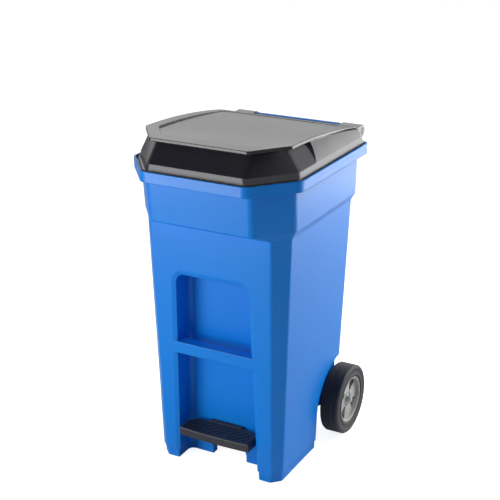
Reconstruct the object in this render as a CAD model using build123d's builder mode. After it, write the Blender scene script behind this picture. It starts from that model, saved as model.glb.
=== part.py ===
from build123d import *
import math
import os

# A 120-litre roll-out container with a foot pedal that lifts the lid.
# Millimetres. X is the width, -Y the front with the pedal, +Z is up and Z = 0 the floor.
# The origin is the middle of the plan, on the floor. "Setback" is a distance behind the
# front of the rim, and "back" one in front of the back of the hinge knuckles, so that both
# ends of each piece follow the overall depth.

# ------------------------------------------------------------------ overall sizes
overall_depth = 610.0  # front of the rim to the back of the hinge knuckles
front = -overall_depth / 2
wall = 4.5  # container wall
side_gap = 0.3  # between faces of pieces that move past each other
run_fit = 0.05  # radial clearance of a pin in its bore

# ------------------------------------------------------------------ rim
rim_half = 245.0
rim_back = 80.0
rim_top = 864.2
rim_height = 28.3
rim_chamfer_x = 95.9
rim_chamfer_y = 113.8
rim_lip = 5.0
rim_bend = 30.0
seat_drop = 6.0  # lid seat, below the top of the rim's lip
rib_pitch = 85.0
rib_thick = 3.0

# ------------------------------------------------------------------ upper band and body
band_top_half = 225.0
band_top_setback = 24.0
band_half = 223.0
band_setback = 32.5
band_back = 99.0
band_base = 726.5
band_chamfer_x = 75.7
band_chamfer_y = 94.8
body_top = 706.3
body_top_half = 213.0
body_top_setback = 78.4
body_top_back = 105.0
body_top_chamfer_x = 35.3
body_top_chamfer_y = 45.9
foot_height = 25.3
foot_inset = 4.0
body_low_half = 189.0
body_low_setback = 109.1
body_low_back = 124.8
body_low_chamfer = 23.7
bend_round = 22.0
corner_round = 24.0
floor_top = 45.0

# ------------------------------------------------------------------ front recess
recess_depth = 72.0  # at the grab bar and above
recess_foot_depth = 64.0  # at the floor
recess_foot_half = 135.0  # half width of its mouth at the floor
recess_narrowing = 15.0  # that its mouth's half width loses from the floor to the top
recess_top = 581.0  # upper edge of its mouth
recess_bevel = 12.0  # width of the gentle bevel round its mouth, and how deep it goes
recess_bevel_depth = 4.2
recess_round = 38.0
recess_corner = 14.0
bar_low = 336.0
bar_height = 33.0
bar_depth = 30.0
notch_flange = 26.0  # how far the edges of the pedal's notch turn back

# ------------------------------------------------------------------ wheels and axle
wheel_radius = 101.7
wheel_width = 56.3
hub_radius = 68.6
wheel_back = 129.8
wheel_y = -front - wheel_back
arch_gap = 38.3
axle_radius = 8.0
axle_end = 236.0
wheel_inner = 180.1
carrier_inner = 145.0
carrier_thick = 5.0
carrier_gap = 17.0
boss_radius = 17.0
hub_recess = 14.4
hub_inset = 3.0
hub_wall = 6.0
hub_boss_radius = 20.0
web_set = 3.0
web_thick = 8.0
spoke_count = 5
window_low = 25.0
window_high = 60.0
window_low_half = 6.0
window_high_half = 17.0
tyre_shoulder = 5.0
tread_grooves = 4
tread_pitch = 10.5
tread_groove = 2.0  # half the groove's width at the tread
tread_groove_depth = 3.0
washer_radius = 15.0
washer_thick = 2.0
nut_height = 8.0
nut_radius = 12.5

# ------------------------------------------------------------------ hinge and handle
knuckle_radius = 17.5
hinge_y = overall_depth / 2 - knuckle_radius
hinge_z = 873.5
hinge_rod_radius = 6.0
handle_radius = 15.0
handle_half = 136.0
arm_inner = 96.0
arm_width = 26.0
arm_drop = 66.0  # gusset of each handle arm, below the rim
knuckle_width = 58.0
cap_radius = 9.0
cap_thick = 3.0

# ------------------------------------------------------------------ lift linkage
crank_radius = 44.0
crank_angle = 40.0  # below the horizontal at rest, and as far above it when the pedal is down
crank_pin_radius = 4.5
lever_thick = 3.0
lever_margin = 6.0  # metal round the crank pin's bore in a lift lever
rod_x = 130.0
rod_radius = 4.0
rod_eye_margin = 5.0
rod_eye_thick = 5.0
roller_width = 14.0
pedal_pivot_setback = 318.0
pedal_pivot_y = front + pedal_pivot_setback
pedal_pivot_z = 85.0
pivot_rod_radius = 5.0
cross_reach = 198.7  # pedal pivot to the cross rod that drives the lift rods
cross_rod_radius = 5.0
cross_rod_half = 138.0
slot_travel = 13.0  # sway of the cross rod in the lower eye of a lift rod
slot_play = 1.3

# ------------------------------------------------------------------ pedal
tread_half = 107.0
tread_setback = 84.0
tread_depth = 74.0
tread_bow = 4.0
tread_top = 114.0
tread_height = 23.0
tread_wall = 4.0
tread_corner_x = 25.0
tread_corner_y = 23.0
groove_count = 13
groove_pitch = 19.9
groove_width = 4.5
groove_margin = 10.0  # plain border of the tread round its grooves
groove_turn = 39.0  # of the grooves from straight back, to the right
groove_depth = 1.5
flap_half = 50.0
flap_thick = 8.0
flap_rise = 2.0
screw_pitch = 36.0
screw_radius = 3.0
screw_head_radius = 6.0
screw_head = 2.4
screw_bite = 1.8  # into the tread
arm_half = 32.0
arm_side_gap = 1.5
arm_thick = 4.0
arm_height = 34.0
tunnel_half = 53.0
tunnel_top = 130.0
notch_top = 114.5

# ------------------------------------------------------------------ lid
lid_wall = 4.0
lid_half = 235.0
lid_setback = 13.0
lid_back = 86.0
lid_chamfer_x = 85.0
lid_chamfer_y = 108.5
lid_step = 2.0  # the strip stands in from the flange by this
strip_top = 880.5
strip_half = 229.0
strip_setback = 16.5
strip_back = 92.0
strip_chamfer_x = 89.0
strip_chamfer_y = 109.0
waist_z = 950.0  # where the leaning walls are measured, above their cut by the top plate
waist_half = 189.0
waist_setback = 71.6
waist_back = 110.0
waist_chamfer_x = 57.2
waist_chamfer_y = 46.4
flare_half = 202.0
flare_belly = 229.0  # setback of the flared side wall's front edge at its middle
flare_foot_lead = 12.0  # how far its foot and head reach in front of that
flare_head_lead = 17.0
plate_half = 211.0
plate_setback = 29.9
plate_back = 93.0
plate_chamfer_x = 71.4
plate_chamfer_y = 94.0
plate_front_z = 936.0  # where its underside would reach the front of the rim
plate_middle = 250.0
plate_middle_z = 931.8
plate_back_z = 898.0  # where its underside would reach the back of the rim
plate_thick = 8.0
plate_back_thick = 4.0
panel_half = 179.0
panel_setback = 64.6
panel_back = 130.0
panel_chamfer_x = 54.0
panel_chamfer_y = 72.0
panel_drop = 3.5
knuckle_notch = 3.0  # clearance of a knuckle over the rim's back

# ------------------------------------------------------------------ worked-out places
crank_y = hinge_y - crank_radius * math.cos(math.radians(crank_angle))
crank_z = hinge_z - crank_radius * math.sin(math.radians(crank_angle))
# The cross rod rises as far as the crank pins do, so it starts as far below its pivot.
cross_drop = hinge_z - crank_z
cross_y = pedal_pivot_y + math.sqrt(cross_reach**2 - cross_drop**2)
cross_z = pedal_pivot_z - cross_drop
roller_radius = hinge_z - knuckle_radius - side_gap - crank_z
body_lean = math.degrees(math.atan((body_low_setback - body_top_setback) / (body_top - foot_height)))
face_setback = body_low_setback + foot_height * math.tan(math.radians(body_lean))
rim_base = rim_top - rim_height
seat_z = rim_top - seat_drop
wheel_z = wheel_radius
arch_radius = wheel_radius + arch_gap
tunnel_front = face_setback + recess_foot_depth
wheel_outer = wheel_inner + wheel_width
knuckle_inner = handle_half + side_gap
knuckle_outer = knuckle_inner + knuckle_width
lever_inner = arm_inner + arm_width + side_gap


def plan_outline(z, half, setback, back, chamfer_x, chamfer_y, bend=bend_round, corner=corner_round):
    """Plan section at height z: chamfered front corners with soft bends, rounded rear corners."""
    y0 = front + setback
    y1 = -front - back
    with BuildSketch(Plane.XY.offset(z)) as section:
        with BuildLine():
            FilletPolyline(
                (half, y1),
                (half, y0 + chamfer_y),
                (half - chamfer_x, y0),
                (chamfer_x - half, y0),
                (-half, y0 + chamfer_y),
                (-half, y1),
                radius=[corner, bend, bend, bend, bend, corner],
                close=True,
            )
        make_face()
    return section.sketch


def shell_sections(inset):
    """The container's plan sections from the foot up to the rim, moved in by inset."""
    slip = inset * (2 - math.sqrt(2))
    body = (body_top_chamfer_x - slip, body_top_chamfer_y - slip, bend_round / 2, corner_round - inset)
    band = (band_chamfer_x - slip, band_chamfer_y - slip, bend_round - inset, corner_round - inset)
    low = (body_low_chamfer - slip, body_low_chamfer - slip, bend_round / 2, corner_round - inset)
    return [
        plan_outline(
            foot_height, body_low_half - inset, body_low_setback + inset, body_low_back + inset, *low
        ),
        plan_outline(
            body_top + slip, body_top_half - inset, body_top_setback + inset, body_top_back + inset, *body
        ),
        plan_outline(band_base + slip, band_half - inset, band_setback + inset, band_back + inset, *band),
        plan_outline(rim_base, band_top_half - inset, band_top_setback + inset, band_back + inset, *band),
    ]


def shell_solid(inset):
    """Filled body between the foot and the underside of the rim, moved in by inset."""
    sections = shell_sections(inset)
    with BuildPart() as solid:
        for lower, upper in zip(sections, sections[1:]):
            loft([lower, upper], ruled=True)
    return solid.part


def rim_outline(z, inset):
    """Plan section of the rim, moved in by inset."""
    slip = inset * (2 - math.sqrt(2))
    return plan_outline(
        z,
        rim_half - inset,
        inset,
        rim_back + inset,
        rim_chamfer_x - slip,
        rim_chamfer_y - slip,
        rim_bend - inset,
        corner_round - inset,
    )


def recess_solid(grow):
    """The front recess with its gentle bevel and tapered sides, filled, grown by grow on every side."""
    face = Plane(
        origin=(0, front + face_setback, 0),
        x_dir=(1, 0, 0),
        z_dir=(0, -math.cos(math.radians(body_lean)), -math.sin(math.radians(body_lean))),
    )

    def mouth(plane, inset):
        """Front view of the recess: open below, rounded above, moved in by inset."""
        low = -2 * wall - grow
        top_half = recess_foot_half - recess_narrowing
        with BuildSketch(plane) as view:
            with BuildLine():
                sides = FilletPolyline(
                    (recess_foot_half - inset, low),
                    (top_half - inset, recess_top - inset),
                    (inset - top_half, recess_top - inset),
                    (inset - recess_foot_half, low),
                    radius=recess_round - inset,
                )
                Line(sides @ 1, sides @ 0)
            make_face()
        return view.sketch

    panel_foot = front + face_setback + recess_foot_depth + grow
    panel_head = front + face_setback - rim_base * math.tan(math.radians(body_lean)) + recess_depth + grow
    with BuildPart() as pocket:
        extrude(mouth(face, recess_bevel - grow), amount=-2 * recess_depth)
        with BuildSketch(Plane.YZ.offset(-rim_half)):
            with BuildLine():
                Polyline(
                    (front, -rim_half),
                    (panel_foot, -rim_half),
                    (panel_foot, 0),
                    (panel_head, rim_base),
                    (front, rim_base),
                    close=True,
                )
            make_face()
        extrude(amount=2 * rim_half, mode=Mode.INTERSECT)
        panel_edges = pocket.faces().sort_by(Axis.Y)[-1].edges().sort_by(Axis.Z)[1:]
        fillet(panel_edges, radius=recess_corner + grow)
        loft(
            [mouth(face, -grow), mouth(face.offset(-recess_bevel_depth), recess_bevel - grow)],
            ruled=True,
        )
        if grow == 0:
            with BuildSketch(face):
                with Locations((0, bar_low + bar_height / 2)):
                    Rectangle(2 * recess_foot_half, bar_height)
            extrude(amount=-bar_depth, mode=Mode.SUBTRACT)
    return pocket.part


def arch_solid(grow):
    """The space round the wheels at the back of the body, full width, grown by grow."""
    reach = arch_radius + grow
    far = wheel_radius + wall
    with BuildPart() as space:
        with BuildSketch(Plane.YZ.offset(-rim_half)):
            with Locations((wheel_y, wheel_z)):
                Circle(reach)
            with BuildLine():
                Polyline(
                    (wheel_y - reach, -wall),
                    (wheel_y - reach, wheel_z),
                    (wheel_y, wheel_z),
                    (wheel_y, wheel_z + reach),
                    (wheel_y + far, wheel_z + reach + far),
                    (wheel_y + far, -wall),
                    close=True,
                )
            make_face()
        extrude(amount=2 * rim_half)
    return space.part


# ------------------------------------------------------------------ container
with BuildPart() as cavity:
    add(shell_solid(wall))
    extrude(
        plan_outline(
            rim_base,
            band_top_half - wall,
            band_top_setback + wall,
            band_back + wall,
            band_chamfer_x - wall / 2,
            band_chamfer_y - wall / 2,
            bend_round - wall,
            corner_round - wall,
        ),
        amount=rim_height + wall,
    )
    add(recess_solid(wall), mode=Mode.SUBTRACT)
    add(arch_solid(wall), mode=Mode.SUBTRACT)
    with Locations((0, 0, floor_top)):
        Box(
            2 * rim_half,
            2 * overall_depth,
            2 * floor_top,
            align=(Align.CENTER, Align.CENTER, Align.MAX),
            mode=Mode.SUBTRACT,
        )
        Box(
            2 * (tunnel_half + wall),
            2 * overall_depth,
            tunnel_top + wall - floor_top,
            align=(Align.CENTER, Align.CENTER, Align.MIN),
            mode=Mode.SUBTRACT,
        )

with BuildPart() as under_floor:
    extrude(
        plan_outline(
            -wall,
            body_low_half - foot_inset - wall,
            body_low_setback + foot_inset + wall,
            body_low_back,
            body_low_chamfer - wall / 2,
            body_low_chamfer - wall / 2,
            bend_round / 2,
            corner_round,
        ),
        amount=floor_top,
    )
    add(recess_solid(foot_inset + wall), mode=Mode.SUBTRACT)
    add(arch_solid(wall), mode=Mode.SUBTRACT)
    # The edges of the pedal's notch turn back as flanges.
    with Locations((0, front + tunnel_front, 0)):
        Box(
            2 * (tunnel_half + wall),
            2 * notch_flange,
            4 * floor_top,
            mode=Mode.SUBTRACT,
        )

with BuildPart() as foot_step:
    add(recess_solid(foot_inset))
    with Locations((0, 0, foot_height)):
        Box(
            2 * rim_half,
            2 * overall_depth,
            2 * rim_top,
            align=(Align.CENTER, Align.CENTER, Align.MIN),
            mode=Mode.SUBTRACT,
        )

with BuildPart() as rim_groove:
    extrude(rim_outline(rim_base, rim_lip), amount=rim_height - seat_drop - wall)
    extrude(
        plan_outline(
            rim_base,
            band_top_half,
            band_top_setback,
            band_back,
            band_chamfer_x,
            band_chamfer_y,
        ),
        amount=rim_height,
        mode=Mode.SUBTRACT,
    )
    with Locations((0, -rim_back / 2, rim_base)):
        with GridLocations(rib_pitch, 0, 5, 1):
            Box(rib_thick, overall_depth - rim_back, 2 * rim_height, mode=Mode.SUBTRACT)
        with GridLocations(0, rib_pitch, 1, 5):
            Box(2 * rim_half, rib_thick, 2 * rim_height, mode=Mode.SUBTRACT)

# Lugs under the raised floor that hold the pedal's pivot rod, one each side of the arm.
with BuildPart() as pivot_lugs:
    with BuildSketch(Plane.YZ.offset(arm_half + arm_side_gap)):
        with Locations((pedal_pivot_y, pedal_pivot_z)):
            Circle(2 * pivot_rod_radius)
            Rectangle(
                4 * pivot_rod_radius,
                tunnel_top - pedal_pivot_z + wall / 2,
                align=(Align.CENTER, Align.MIN),
            )
    extrude(amount=tunnel_half - arm_half - arm_side_gap + wall / 2)
    mirror(about=Plane.YZ)

# Axle carriers: a pair of ribs each side, from the arch to a boss round the axle.
with BuildPart() as axle_carriers:
    for rib_x in (carrier_inner, carrier_inner + carrier_thick + carrier_gap):
        with BuildSketch(Plane.YZ.offset(rib_x)):
            with Locations((wheel_y, wheel_z)):
                Circle(boss_radius)
            with BuildLine():
                Polyline(
                    (wheel_y + boss_radius, wheel_z),
                    (wheel_y + boss_radius, wheel_z + 2 * arch_radius),
                    (wheel_y - 2 * arch_radius, wheel_z + 2 * arch_radius),
                    (wheel_y - arch_radius - 2 * wall, wheel_z + boss_radius),
                    (wheel_y - boss_radius / 2, wheel_z - boss_radius * 0.8),
                    close=True,
                )
            make_face()
        extrude(amount=carrier_thick)
    with BuildSketch(Plane.YZ.offset(carrier_inner)):
        with Locations((wheel_y, wheel_z)):
            Circle(boss_radius)
    extrude(amount=2 * carrier_thick + carrier_gap)
    add(arch_solid(wall / 2), mode=Mode.INTERSECT)
    mirror(about=Plane.YZ)

# Handle: an arm from each side of the rim's back and the bar between them.
with BuildPart() as handle_arms:
    with BuildSketch(Plane.YZ.offset(arm_inner)):
        with Locations((hinge_y, hinge_z)):
            Circle(handle_radius)
        with BuildLine():
            Polyline(
                (-front - rim_back - rim_lip / 2, rim_top - wall),
                (hinge_y - handle_radius / 3, hinge_z + handle_radius * 0.9),
                (hinge_y, hinge_z),
                (hinge_y, hinge_z - handle_radius),
                (-front - band_back - wall / 2, rim_base - arm_drop),
                (-front - band_back - wall / 2, rim_base + rib_thick),
                (-front - rim_back - rim_lip / 2, rim_base + rib_thick),
                close=True,
            )
        make_face()
    extrude(amount=arm_width)
    mirror(about=Plane.YZ)
    with BuildSketch(Plane.YZ.offset(-handle_half)):
        with Locations((hinge_y, hinge_z)):
            Circle(handle_radius)
    extrude(amount=2 * handle_half)

with BuildPart() as container:
    add(shell_solid(0))
    extrude(
        plan_outline(
            0,
            body_low_half - foot_inset,
            body_low_setback + foot_inset,
            body_low_back,
            body_low_chamfer,
            body_low_chamfer,
            bend_round / 2,
            corner_round,
        ),
        amount=foot_height,
    )
    extrude(rim_outline(rim_base, 0), amount=rim_height)
    # Seat for the lid inside the rim's lip.
    extrude(rim_outline(seat_z, rim_lip), amount=rim_height, mode=Mode.SUBTRACT)
    add(rim_groove.part, mode=Mode.SUBTRACT)
    add(recess_solid(0), mode=Mode.SUBTRACT)
    add(foot_step.part, mode=Mode.SUBTRACT)
    add(arch_solid(0), mode=Mode.SUBTRACT)
    add(cavity.part, mode=Mode.SUBTRACT)
    add(under_floor.part, mode=Mode.SUBTRACT)
    # Tunnel for the pedal arm through the raised floor, with its notch in the recess.
    with Locations((0, front + tunnel_front + wall, 0)):
        Box(
            2 * tunnel_half,
            wheel_y - front - tunnel_front - wall,
            2 * tunnel_top,
            align=(Align.CENTER, Align.MIN, Align.CENTER),
            mode=Mode.SUBTRACT,
        )
        Box(2 * tunnel_half, 6 * wall, 2 * notch_top, mode=Mode.SUBTRACT)
    add(pivot_lugs.part)
    add(axle_carriers.part)
    add(handle_arms.part)
    for bore_y, bore_z, bore_radius, bore_half in (
        (pedal_pivot_y, pedal_pivot_z, pivot_rod_radius + run_fit, tunnel_half),
        (wheel_y, wheel_z, axle_radius + run_fit, wheel_inner),
        (hinge_y, hinge_z, hinge_rod_radius + run_fit, handle_half),
    ):
        with BuildSketch(Plane.YZ.offset(-bore_half)):
            with Locations((bore_y, bore_z)):
                Circle(bore_radius)
        extrude(amount=2 * bore_half, mode=Mode.SUBTRACT)


# ------------------------------------------------------------------ lid
def strip_outline(z, half, setback, back, inset):
    """Plan section of the lid's foot, moved in by inset."""
    slip = inset * (2 - math.sqrt(2))
    return plan_outline(
        z,
        half - inset,
        setback + inset,
        back + inset,
        strip_chamfer_x - slip,
        strip_chamfer_y - slip,
        bend_round - inset,
        corner_round / 2 - inset,
    )


def lid_body(inset):
    """The lid's leaning walls, filled: strip, chamfered front and flared sides, moved in by inset."""
    slip = inset * (2 - math.sqrt(2))
    foot = strip_outline(rim_top, lid_half - lid_step, lid_setback + lid_step, lid_back, inset)
    strip = strip_outline(strip_top, strip_half, strip_setback, strip_back, inset)
    waist = plan_outline(
        waist_z,
        waist_half - inset,
        waist_setback + inset,
        waist_back + inset,
        waist_chamfer_x - slip,
        waist_chamfer_y - slip,
        bend_round - inset,
        corner_round / 2 - inset,
    )
    flare_base = plan_outline(
        strip_top,
        strip_half - inset,
        strip_setback + inset,
        strip_back + inset,
        waist_chamfer_x,
        waist_chamfer_y,
        bend_round,
        corner_round / 2 - inset,
    )
    flare_top = plan_outline(
        waist_z,
        flare_half - inset,
        waist_setback + inset,
        waist_back + inset,
        waist_chamfer_x,
        waist_chamfer_y,
        bend_round,
        corner_round / 2 - inset,
    )
    with BuildPart() as flare:
        loft([flare_base, flare_top], ruled=True)
        with BuildSketch(Plane.YZ.offset(-lid_half)):
            with BuildLine():
                edge = ThreePointArc(
                    (front + flare_belly - flare_foot_lead + inset, strip_top - wall),
                    (front + flare_belly + inset, (strip_top + plate_middle_z) / 2),
                    (front + flare_belly - flare_head_lead + inset, waist_z),
                )
                Polyline(
                    edge @ 1,
                    (-front - rim_back, waist_z),
                    (-front - rim_back, strip_top - wall),
                    edge @ 0,
                )
            make_face()
        extrude(amount=2 * lid_half, mode=Mode.INTERSECT)
    with BuildPart() as body:
        loft([foot, strip], ruled=True)
        loft([strip, waist], ruled=True)
        add(flare.part)
        add(above_arc(0, 0, 0).part, mode=Mode.SUBTRACT)
    return body.part


def above_arc(lift_front, lift_middle, lift_back):
    """Everything above the underside of the lid's top plate, lifted by the given amounts."""
    with BuildPart() as space:
        with BuildSketch(Plane.YZ.offset(-rim_half)):
            with BuildLine():
                top = ThreePointArc(
                    (front, plate_front_z + lift_front),
                    (front + plate_middle, plate_middle_z + lift_middle),
                    (-front - rim_back, plate_back_z + lift_back),
                )
                Polyline(
                    top @ 1,
                    (-front - rim_back, waist_z + knuckle_radius),
                    (front, waist_z + knuckle_radius),
                    top @ 0,
                )
            make_face()
        extrude(amount=2 * rim_half)
    return space


with BuildPart() as plate:
    extrude(
        plan_outline(
            plate_back_z - plate_thick,
            plate_half,
            plate_setback,
            plate_back,
            plate_chamfer_x,
            plate_chamfer_y,
            bend_round / 2,
            corner_round / 2,
        ),
        amount=waist_z - plate_back_z + 2 * plate_thick,
    )
    add(above_arc(0, 0, 0).part, mode=Mode.INTERSECT)
    add(
        above_arc(plate_thick, plate_thick, plate_back_thick).part,
        mode=Mode.SUBTRACT,
    )

with BuildPart() as panel:
    extrude(
        plan_outline(
            plate_back_z,
            panel_half,
            panel_setback,
            panel_back,
            panel_chamfer_x,
            panel_chamfer_y,
            bend_round,
            corner_round,
        ),
        amount=waist_z - plate_back_z + plate_thick,
    )
    add(
        above_arc(
            plate_thick - panel_drop,
            plate_thick - panel_drop,
            plate_back_thick + side_gap,
        ).part,
        mode=Mode.INTERSECT,
    )

with BuildPart() as knuckles:
    with BuildSketch(Plane.YZ.offset(knuckle_inner)):
        with Locations((hinge_y, hinge_z)):
            Circle(knuckle_radius)
        with BuildLine():
            Polyline(
                (hinge_y, hinge_z + knuckle_radius),
                (-front - plate_back - wall, hinge_z + knuckle_radius),
                (-front - plate_back - wall, rim_top + knuckle_notch),
                (-front - rim_back + knuckle_notch, rim_top + knuckle_notch),
                (-front - rim_back + knuckle_notch, hinge_z - knuckle_radius),
                (hinge_y, hinge_z - knuckle_radius),
                close=True,
            )
        make_face()
    extrude(amount=knuckle_width)
    with BuildSketch(Plane.YZ.offset(knuckle_inner)):
        with Locations((hinge_y, hinge_z)):
            Circle(hinge_rod_radius + run_fit)
    extrude(amount=knuckle_width, mode=Mode.SUBTRACT)
    with BuildSketch(Plane.YZ.offset(knuckle_outer - cap_thick)):
        with Locations((hinge_y, hinge_z)):
            Circle(cap_radius + run_fit)
    extrude(amount=cap_thick, mode=Mode.SUBTRACT)
    mirror(about=Plane.YZ)

with BuildPart() as lid:
    extrude(
        plan_outline(
            seat_z + side_gap,
            lid_half,
            lid_setback,
            lid_back,
            lid_chamfer_x,
            lid_chamfer_y,
            bend_round,
            corner_round / 2,
        ),
        amount=rim_top - seat_z - side_gap,
    )
    add(lid_body(0))
    add(plate.part)
    add(panel.part, mode=Mode.SUBTRACT)
    add(lid_body(lid_wall), mode=Mode.SUBTRACT)
    extrude(
        strip_outline(seat_z, lid_half - lid_step, lid_setback + lid_step, lid_back, lid_wall),
        amount=rim_top - seat_z,
        mode=Mode.SUBTRACT,
    )
    add(knuckles.part)


# ------------------------------------------------------------------ turned and round pieces
def rod_along_x(radius, start, end, y, z):
    """A plain round bar along X."""
    with BuildPart() as bar:
        with BuildSketch(Plane.YZ.offset(start)):
            with Locations((y, z)):
                Circle(radius)
        extrude(amount=end - start)
    return bar.part


def tube_along_x(radius, bore, start, end, y, z):
    """A round bar along X with a bore."""
    with BuildPart() as tube:
        with BuildSketch(Plane.YZ.offset(start)):
            with Locations((y, z)):
                Circle(radius)
                Circle(bore, mode=Mode.SUBTRACT)
        extrude(amount=end - start)
    return tube.part


hinge_end = knuckle_outer - cap_thick
hinge_rod = rod_along_x(hinge_rod_radius, -hinge_end, hinge_end, hinge_y, hinge_z)
axle = rod_along_x(axle_radius, -axle_end, axle_end, wheel_y, wheel_z)
pivot_rod_end = tunnel_half - side_gap
pedal_pivot_rod = rod_along_x(
    pivot_rod_radius, -pivot_rod_end, pivot_rod_end, pedal_pivot_y, pedal_pivot_z
)
pedal_cross_rod = rod_along_x(cross_rod_radius, -cross_rod_half, cross_rod_half, cross_y, cross_z)

hinge_cap = rod_along_x(cap_radius, hinge_end, knuckle_outer, hinge_y, hinge_z)
crank_pin_end = knuckle_inner + roller_width + 2 * side_gap
crank_pin = rod_along_x(crank_pin_radius, lever_inner, crank_pin_end, crank_y, crank_z)
crank_roller = tube_along_x(
    roller_radius,
    crank_pin_radius + run_fit,
    knuckle_inner + side_gap,
    knuckle_inner + side_gap + roller_width,
    crank_y,
    crank_z,
)
boss_end = carrier_inner + 2 * carrier_thick + carrier_gap
wheel_spacer = tube_along_x(
    boss_radius - wall, axle_radius + run_fit, boss_end, wheel_inner - side_gap, wheel_y, wheel_z
)
hub_face = wheel_outer - hub_recess
washer = tube_along_x(
    washer_radius,
    axle_radius + run_fit,
    hub_face + side_gap,
    hub_face + side_gap + washer_thick,
    wheel_y,
    wheel_z,
)
nut_face = hub_face + side_gap + washer_thick
with BuildPart() as nut_blank:
    with BuildSketch(Plane.YZ.offset(nut_face)):
        with Locations((wheel_y, wheel_z)):
            RegularPolygon(nut_radius, 6)
            Circle(axle_radius + run_fit, mode=Mode.SUBTRACT)
    extrude(amount=nut_height)
axle_nut = nut_blank.part

# Lift lever: turns on the handle bar's end and carries the crank pin.
with BuildPart() as lever_blank:
    with BuildSketch(Plane.YZ.offset(lever_inner)):
        with Locations((hinge_y, hinge_z)):
            Circle(knuckle_radius)
        with Locations((crank_y, crank_z)):
            Circle(crank_pin_radius + lever_margin)
        make_hull()
        with Locations((hinge_y, hinge_z)):
            Circle(handle_radius + run_fit, mode=Mode.SUBTRACT)
        with Locations((crank_y, crank_z)):
            Circle(crank_pin_radius + run_fit, mode=Mode.SUBTRACT)
    extrude(amount=lever_thick)
lift_lever = lever_blank.part

# Lift rod: round bar from an eye on the crank pin to a slotted eye round the cross rod.
rod_length = math.hypot(crank_y - cross_y, crank_z - cross_z)
with BuildPart() as lift_rod_blank:
    with BuildSketch(
        Plane(
            origin=(rod_x, crank_y, crank_z),
            x_dir=(1, 0, 0),
            z_dir=(0, cross_y - crank_y, cross_z - crank_z),
        )
    ):
        Circle(rod_radius)
    extrude(amount=rod_length)
    eye_hole = slot_play + cross_rod_radius
    with BuildSketch(Plane.YZ.offset(rod_x - rod_eye_thick / 2)):
        with Locations((crank_y, crank_z)):
            Circle(crank_pin_radius + rod_eye_margin)
        with Locations((cross_y + slot_travel / 2, cross_z)):
            SlotCenterToCenter(slot_travel, 2 * (eye_hole + rod_eye_margin))
    extrude(amount=rod_eye_thick)
    with BuildSketch(Plane.YZ.offset(rod_x - rod_radius)):
        with Locations((crank_y, crank_z)):
            Circle(crank_pin_radius + run_fit)
        with Locations((cross_y + slot_travel / 2, cross_z)):
            SlotCenterToCenter(slot_travel, 2 * eye_hole)
    extrude(amount=2 * rod_radius, mode=Mode.SUBTRACT)
lift_rod = lift_rod_blank.part

# ------------------------------------------------------------------ pedal
# Pedal arm: folded steel channel from the tread over the axle and down to the cross rod.
arm_front = front + tread_setback + tread_corner_y
arm_top = tread_top - tread_wall - side_gap
arm_over = wheel_z + axle_radius + arm_thick
arm_back = cross_y + cross_rod_radius + 2 * arm_thick
arm_leg = wheel_y + axle_radius + 3 * arm_thick
arm_knee = wheel_y - wheel_radius / 2
with BuildPart() as pedal_arm:
    with BuildSketch(Plane.YZ.offset(-arm_half)):
        with BuildLine():
            Polyline(
                (arm_front, arm_top),
                (pedal_pivot_y, arm_top),
                (arm_knee, arm_over + arm_height - 2 * arm_thick),
                (wheel_y + 2 * axle_radius, arm_over + arm_height - 2 * arm_thick),
                (arm_back, arm_over),
                (arm_back, cross_z - cross_rod_radius - arm_thick),
                (arm_leg, cross_z - cross_rod_radius - arm_thick),
                (arm_leg, wheel_z),
                (wheel_y + axle_radius, arm_over),
                (arm_knee, arm_over),
                (pedal_pivot_y + arm_height / 2, arm_top - arm_height - 2 * arm_thick),
                (pedal_pivot_y - arm_height / 2, arm_top - arm_height - 2 * arm_thick),
                (arm_front, arm_top - arm_height + 2 * arm_thick),
                close=True,
            )
        make_face()
    extrude(amount=2 * arm_half)
    with BuildSketch(Plane.YZ.offset(-arm_half + arm_thick)):
        with BuildLine():
            Polyline(
                (arm_front - arm_thick, arm_top - arm_thick),
                (pedal_pivot_y, arm_top - arm_thick),
                (arm_knee, arm_over + arm_height - 3 * arm_thick),
                (wheel_y + 2 * axle_radius - arm_thick, arm_over + arm_height - 3 * arm_thick),
                (arm_back - arm_thick, arm_over - arm_thick),
                (arm_back - arm_thick, -arm_thick),
                (arm_front - arm_thick, -arm_thick),
                close=True,
            )
        make_face()
    extrude(amount=2 * (arm_half - arm_thick), mode=Mode.SUBTRACT)
    with BuildSketch(Plane.YZ.offset(-arm_half)):
        with Locations((pedal_pivot_y, pedal_pivot_z)):
            Circle(pivot_rod_radius + run_fit)
        with Locations((cross_y, cross_z)):
            Circle(cross_rod_radius + run_fit)
    extrude(amount=2 * arm_half, mode=Mode.SUBTRACT)
    with Locations((0, arm_front + screw_pitch / 2, arm_top)):
        with GridLocations(screw_pitch, 0, 2, 1):
            Cylinder(screw_radius + run_fit, 4 * arm_thick, mode=Mode.SUBTRACT)

tread_front = front + tread_setback
tread_back = tread_front + tread_depth


def tread_outline(z, inset):
    """Plan of the pedal tread: bowed front edge, chamfered back corners, moved in by inset."""
    half = tread_half - inset
    with BuildSketch(Plane.XY.offset(z)) as section:
        with BuildLine():
            edge = ThreePointArc(
                (-half, tread_front + tread_bow + inset),
                (0, tread_front + inset),
                (half, tread_front + tread_bow + inset),
            )
            Polyline(
                edge @ 1,
                (half, tread_back - tread_corner_y),
                (half - tread_corner_x, tread_back - inset),
                (tread_corner_x - half, tread_back - inset),
                (-half, tread_back - tread_corner_y),
                edge @ 0,
            )
        make_face()
    return section.sketch


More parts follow.
